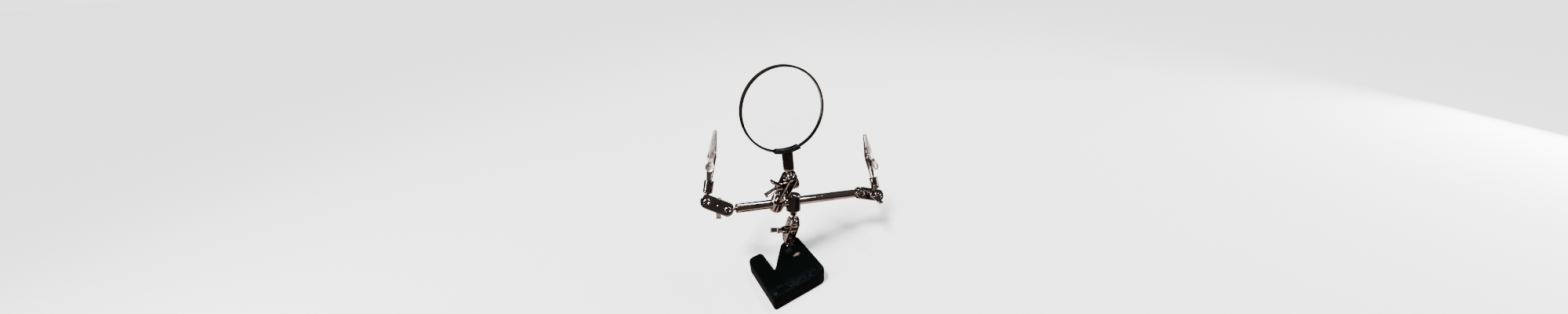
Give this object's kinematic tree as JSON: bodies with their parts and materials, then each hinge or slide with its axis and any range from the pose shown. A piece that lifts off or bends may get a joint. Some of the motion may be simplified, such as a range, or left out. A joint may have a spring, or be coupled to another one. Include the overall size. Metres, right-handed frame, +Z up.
{
  "type": "bench third hand with magnifier",
  "caption": "Bench third-hand stand: a notched cast base carries a ball-jointed cross bar with two spring clips and a round magnifier for soldering work.",
  "frame": {"origin": "centre of the cast base's underside, on the bench", "axes": "+Z up, +X along the base's near edge, +Y towards the edge with the notch and the ball stud"},
  "size_m": [0.1741, 0.1025, 0.1901],
  "materials": {
    "cast_base": "rough casting under black paint, worn at its edges",
    "black_nickel": "glossy black-nickel plate",
    "bright_plate": "bright plated tube",
    "satin_nickel": "satin nickel plate",
    "black_paint": "satin black paint",
    "spring_steel": "bright drawn wire",
    "optical_glass": "clear polished glass"
  },
  "bodies": {
    "base": {"base_casting": "cast_base"},
    "base_stud": {"base_ball_stud": "black_nickel"},
    "base_knuckle": {"base_knuckle_screw_plate": "black_nickel", "base_knuckle_far_plate": "black_nickel"},
    "base_screw": {"base_wing_screw": "black_nickel"},
    "stand_stud": {"stand_clamp_ball_stud": "black_nickel"},
    "stand_clamp": {"stand_clamp_body": "black_nickel"},
    "crossbar": {"crossbar_tube": "bright_plate"},
    "magnifier_clamp": {"magnifier_clamp_body": "black_nickel"},
    "magnifier_clamp_stud": {"magnifier_clamp_ball_stud": "black_nickel"},
    "magnifier_knuckle": {"magnifier_knuckle_screw_plate": "black_nickel", "magnifier_knuckle_nut_plate": "black_nickel", "magnifier_grooved_nut": "black_nickel"},
    "magnifier_screw": {"magnifier_wing_screw": "black_nickel"},
    "magnifier_stem_stud": {"magnifier_stem_ball_stud": "black_nickel"},
    "magnifier_head": {"magnifier_stem": "black_nickel", "magnifier_saddle": "black_paint", "magnifier_rim": "black_nickel", "magnifier_lens": "optical_glass"},
    "left_bar_stud": {"left_bar_ball_stud": "black_nickel"},
    "left_knuckle": {"left_knuckle_screw_plate": "black_nickel", "left_knuckle_far_plate": "black_nickel"},
    "left_screw": {"left_wing_screw": "black_nickel"},
    "left_clip_stud": {"left_clip_ball_stud": "black_nickel"},
    "left_clip": {"left_clip_socket": "black_nickel", "left_clip_fixed_jaw": "black_nickel", "left_clip_pivot_pin": "black_nickel", "left_clip_spring": "spring_steel"},
    "left_lever": {"left_clip_lever_jaw": "satin_nickel"},
    "right_bar_stud": {"right_bar_ball_stud": "black_nickel"},
    "right_knuckle": {"right_knuckle_screw_plate": "black_nickel", "right_knuckle_far_plate": "black_nickel"},
    "right_screw": {"right_wing_screw": "black_nickel"},
    "right_clip_stud": {"right_clip_ball_stud": "black_nickel"},
    "right_clip": {"right_clip_socket": "black_nickel", "right_clip_fixed_jaw": "black_nickel", "right_clip_pivot_pin": "black_nickel", "right_clip_spring": "spring_steel"},
    "right_lever": {"right_clip_lever_jaw": "satin_nickel"}
  },
  "joints": [
    {"name": "base_swivel", "type": "hinge", "parent": "base", "child": "base_stud", "pos_m": [0.0148, 0.01955, 0.025], "axis": [0, 0, 1], "range_deg": [-150, 150]},
    {"name": "base_knuckle_tilt", "type": "hinge", "parent": "base_stud", "child": "base_knuckle", "pos_m": [0.0148, 0.01955, 0.025], "axis": [-0.9411, 0.181, 0.2855], "range_deg": [-25, 35]},
    {"name": "base_screw_turn", "type": "hinge", "parent": "base_knuckle", "child": "base_screw", "pos_m": [0.01734, 0.01808, 0.0343], "axis": [-0.9411, 0.181, 0.2855], "range_deg": [-180, 180]},
    {"name": "stand_stud_tilt", "type": "hinge", "parent": "base_knuckle", "child": "stand_stud", "pos_m": [0.01988, 0.01662, 0.0436], "axis": [0.9411, -0.181, -0.2855], "range_deg": [-35, 35]},
    {"name": "stand_clamp_twist", "type": "hinge", "parent": "stand_stud", "child": "stand_clamp", "pos_m": [0.01988, 0.01662, 0.0436], "axis": [0.2315, 0.3035, 0.9243], "range_deg": [-90, 90]},
    {"name": "crossbar_slide", "type": "slide", "parent": "stand_clamp", "child": "crossbar", "axis": [0.9644, -0.1962, -0.1771], "range_m": [-0.04, 0.001]},
    {"name": "magnifier_clamp_roll", "type": "hinge", "parent": "crossbar", "child": "magnifier_clamp", "pos_m": [0.00966, 0.02571, 0.06481], "axis": [0.9644, -0.1962, -0.1771], "range_deg": [-15, 45]},
    {"name": "magnifier_clamp_twist", "type": "hinge", "parent": "magnifier_clamp", "child": "magnifier_clamp_stud", "pos_m": [0.01117, 0.01698, 0.08274], "axis": [0.0757, -0.4368, 0.8964], "range_deg": [-40, 40]},
    {"name": "magnifier_knuckle_tilt", "type": "hinge", "parent": "magnifier_clamp_stud", "child": "magnifier_knuckle", "pos_m": [0.01117, 0.01698, 0.08274], "axis": [-0.9729, -0.0414, 0.2275], "range_deg": [-40, 40]},
    {"name": "magnifier_screw_turn", "type": "hinge", "parent": "magnifier_knuckle", "child": "magnifier_screw", "pos_m": [0.01338, 0.0135, 0.09157], "axis": [-0.9729, -0.0414, 0.2275], "range_deg": [-180, 180]},
    {"name": "magnifier_stem_tilt", "type": "hinge", "parent": "magnifier_knuckle", "child": "magnifier_stem_stud", "pos_m": [0.0156, 0.01002, 0.10041], "axis": [0.9729, 0.0414, -0.2275], "range_deg": [-45, 45]},
    {"name": "magnifier_stem_twist", "type": "hinge", "parent": "magnifier_stem_stud", "child": "magnifier_head", "pos_m": [0.0156, 0.01002, 0.10041], "axis": [0.059, 0.1578, 0.9857], "range_deg": [-90, 90]},
    {"name": "left_bar_stud_twist", "type": "hinge", "parent": "crossbar", "child": "left_bar_stud", "pos_m": [-0.03394, 0.03458, 0.07281], "axis": [-0.9644, 0.1962, 0.1771], "range_deg": [-60, 60]},
    {"name": "left_knuckle_tilt", "type": "hinge", "parent": "left_bar_stud", "child": "left_knuckle", "pos_m": [-0.03394, 0.03458, 0.07281], "axis": [-0.203, -0.6417, 0.7396], "range_deg": [-40, 45]},
    {"name": "left_screw_turn", "type": "hinge", "parent": "left_knuckle", "child": "left_screw", "pos_m": [-0.04065, 0.04073, 0.07631], "axis": [0.203, 0.6417, -0.7396], "range_deg": [-180, 180]},
    {"name": "left_clip_tilt", "type": "hinge", "parent": "left_knuckle", "child": "left_clip_stud", "pos_m": [-0.04736, 0.04688, 0.0798], "axis": [-0.203, -0.6417, 0.7396], "range_deg": [-18, 45]},
    {"name": "left_clip_twist", "type": "hinge", "parent": "left_clip_stud", "child": "left_clip", "pos_m": [-0.04736, 0.04688, 0.0798], "axis": [0.4363, 0.444, 0.7826], "range_deg": [-90, 90]},
    {"name": "left_jaw_open", "type": "hinge", "parent": "left_clip", "child": "left_lever", "pos_m": [-0.03021, 0.06433, 0.11056], "axis": [0.8485, -0.4924, -0.1937], "range_deg": [0, 18], "stiffness_Nm_per_rad": 0.1, "springref_deg": -28.65},
    {"name": "right_bar_stud_twist", "type": "hinge", "parent": "crossbar", "child": "right_bar_stud", "pos_m": [0.09298, 0.00876, 0.04951], "axis": [0.9644, -0.1962, -0.1771], "range_deg": [-60, 60]},
    {"name": "right_knuckle_tilt", "type": "hinge", "parent": "right_bar_stud", "child": "right_knuckle", "pos_m": [0.09298, 0.00876, 0.04951], "axis": [-0.0827, -0.8216, 0.564], "range_deg": [-45, 45]},
    {"name": "right_screw_turn", "type": "hinge", "parent": "right_knuckle", "child": "right_screw", "pos_m": [0.10151, 0.00553, 0.04606], "axis": [-0.0827, -0.8216, 0.564], "range_deg": [-180, 180]},
    {"name": "right_clip_tilt", "type": "hinge", "parent": "right_knuckle", "child": "right_clip_stud", "pos_m": [0.11005, 0.00231, 0.04262], "axis": [-0.0827, -0.8216, 0.564], "range_deg": [-45, 5]},
    {"name": "right_clip_twist", "type": "hinge", "parent": "right_clip_stud", "child": "right_clip", "pos_m": [0.11005, 0.00231, 0.04262], "axis": [0.1433, 0.5239, 0.8396], "range_deg": [-90, 90]},
    {"name": "right_jaw_open", "type": "hinge", "parent": "right_clip", "child": "right_lever", "pos_m": [0.11568, 0.0229, 0.07561], "axis": [0.9599, 0.1328, -0.2467], "range_deg": [0, 18], "stiffness_Nm_per_rad": 0.1, "springref_deg": -28.65}
  ]
}
